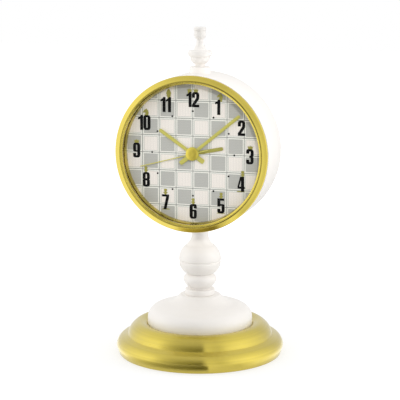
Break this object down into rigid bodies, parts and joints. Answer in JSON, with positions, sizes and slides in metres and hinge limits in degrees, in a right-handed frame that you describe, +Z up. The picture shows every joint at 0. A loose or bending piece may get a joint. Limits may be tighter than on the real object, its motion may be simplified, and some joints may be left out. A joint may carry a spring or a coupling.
{
  "type": "pedestal alarm clock",
  "caption": "Round drum alarm clock with a brass bezel on a turned white stem, a domed foot and a brass base ring, with a finial on top.",
  "frame": {"origin": "middle of the base's underside, on the surface that the clock stands on", "axes": "+Z up along the stem; the dial faces -Y; +X is to the right of someone who reads the dial"},
  "size_m": [0.1296, 0.1296, 0.2516],
  "materials": {
    "felt": "matt felt",
    "brass": "satin brushed",
    "iron": "as cast",
    "white_paint": "satin paint",
    "steel": "plated",
    "lens_glass": "clear",
    "dial_print": "printed matt",
    "white_plastic": "moulded",
    "grey_plastic": "moulded",
    "wheel_plastic": "acetal",
    "hand_gold": "gold plated",
    "copper": "enamelled wire",
    "board": "circuit board",
    "cell_skin": "sleeved"
  },
  "bodies": {
    "clock": {"base_pad": "felt", "base_ring": "brass", "base_ballast": "iron", "base_dome": "white_paint", "stem_collar": "white_paint", "stem_bead": "white_paint", "stem_bulb": "white_paint", "stem_neck": "white_paint", "tie_rod": "steel", "tie_rod_washers": "steel", "tie_rod_nuts": "steel", "case_drum": "white_paint", "back_cover": "white_plastic", "back_cover_screws": "steel", "bezel": "brass", "lens": "lens_glass", "dial_ring": "brass", "dial_plate": "dial_print", "dial_frame": "white_plastic", "finial_base": "white_paint", "finial": "white_paint", "finial_stud": "steel", "finial_nut": "steel", "movement_front_case": "grey_plastic", "movement_rear_case": "grey_plastic", "movement_case_screws": "steel", "movement_mount_screws": "steel", "movement_middle_plate": "grey_plastic", "train_bridge": "grey_plastic", "stator": "steel", "coil": "copper", "circuit_board": "board", "quartz_crystal": "steel", "sounder": "brass", "battery": "cell_skin", "battery_contact_plus": "steel", "battery_contact_minus": "steel"},
    "minute_hand_group": {"minute_hand": "hand_gold", "minute_pinion": "wheel_plastic"},
    "hour_hand_group": {"hour_hand": "hand_gold", "hour_wheel": "wheel_plastic"},
    "time_setter": {"minute_wheel": "wheel_plastic", "time_set_knob": "grey_plastic"},
    "alarm_hand_group": {"alarm_hand": "hand_gold", "alarm_wheel": "wheel_plastic"},
    "alarm_setter": {"alarm_set_gear": "wheel_plastic", "alarm_set_knob": "grey_plastic"},
    "second_hand_group": {"second_hand": "hand_gold", "seconds_wheel": "wheel_plastic"},
    "third_wheel_body": {"third_wheel": "wheel_plastic"},
    "centre_wheel_body": {"centre_wheel": "wheel_plastic"},
    "step_wheel_body": {"step_wheel": "wheel_plastic"},
    "rotor_body": {"rotor": "wheel_plastic"},
    "battery_door_body": {"battery_door": "grey_plastic"},
    "alarm_switch_body": {"alarm_switch": "white_plastic"}
  },
  "joints": [
    {"name": "minute_hand_turn", "type": "hinge", "parent": "clock", "child": "minute_hand_group", "pos_m": [0, 0, 0.1583], "axis": [0, 1, 0], "continuous": true},
    {"name": "hour_hand_turn", "type": "hinge", "parent": "clock", "child": "hour_hand_group", "pos_m": [0, 0, 0.1583], "axis": [0, 1, 0], "continuous": true},
    {"name": "time_set_turn", "type": "hinge", "parent": "clock", "child": "time_setter", "pos_m": [0.01128, 0, 0.1542], "axis": [0, 1, 0], "continuous": true},
    {"name": "alarm_hand_turn", "type": "hinge", "parent": "clock", "child": "alarm_hand_group", "pos_m": [0, 0, 0.1583], "axis": [0, 1, 0], "continuous": true},
    {"name": "alarm_set_turn", "type": "hinge", "parent": "clock", "child": "alarm_setter", "pos_m": [-0.01128, 0, 0.1542], "axis": [0, 1, 0], "continuous": true},
    {"name": "second_hand_turn", "type": "hinge", "parent": "clock", "child": "second_hand_group", "pos_m": [0, 0, 0.1583], "axis": [0, 1, 0], "continuous": true},
    {"name": "third_wheel_turn", "type": "hinge", "parent": "clock", "child": "third_wheel_body", "pos_m": [-0.00619, 0, 0.16715], "axis": [0, 1, 0], "continuous": true},
    {"name": "centre_wheel_turn", "type": "hinge", "parent": "clock", "child": "centre_wheel_body", "pos_m": [0, 0, 0.1583], "axis": [0, 1, 0], "continuous": true},
    {"name": "step_wheel_turn", "type": "hinge", "parent": "clock", "child": "step_wheel_body", "pos_m": [0.00827, 0, 0.16524], "axis": [0, 1, 0], "continuous": true},
    {"name": "rotor_turn", "type": "hinge", "parent": "clock", "child": "rotor_body", "pos_m": [0.00827, 0, 0.17364], "axis": [0, 1, 0], "continuous": true},
    {"name": "battery_door_lift", "type": "slide", "parent": "clock", "child": "battery_door_body", "axis": [0, 1, 0], "range_m": [0, 0.02]},
    {"name": "alarm_switch_slide", "type": "slide", "parent": "clock", "child": "alarm_switch_body", "axis": [1, 0, 0], "range_m": [0, 0.004]}
  ],
  "couplings": [
    {"joint": "hour_hand_turn", "follows": "minute_hand_turn", "ratio": 0.083333},
    {"joint": "time_set_turn", "follows": "minute_hand_turn", "ratio": -0.33333},
    {"joint": "alarm_set_turn", "follows": "alarm_hand_turn", "ratio": -2},
    {"joint": "third_wheel_turn", "follows": "second_hand_turn", "ratio": -0.13333},
    {"joint": "centre_wheel_turn", "follows": "second_hand_turn", "ratio": 0.016667},
    {"joint": "step_wheel_turn", "follows": "second_hand_turn", "ratio": -6},
    {"joint": "rotor_turn", "follows": "second_hand_turn", "ratio": 30}
  ]
}
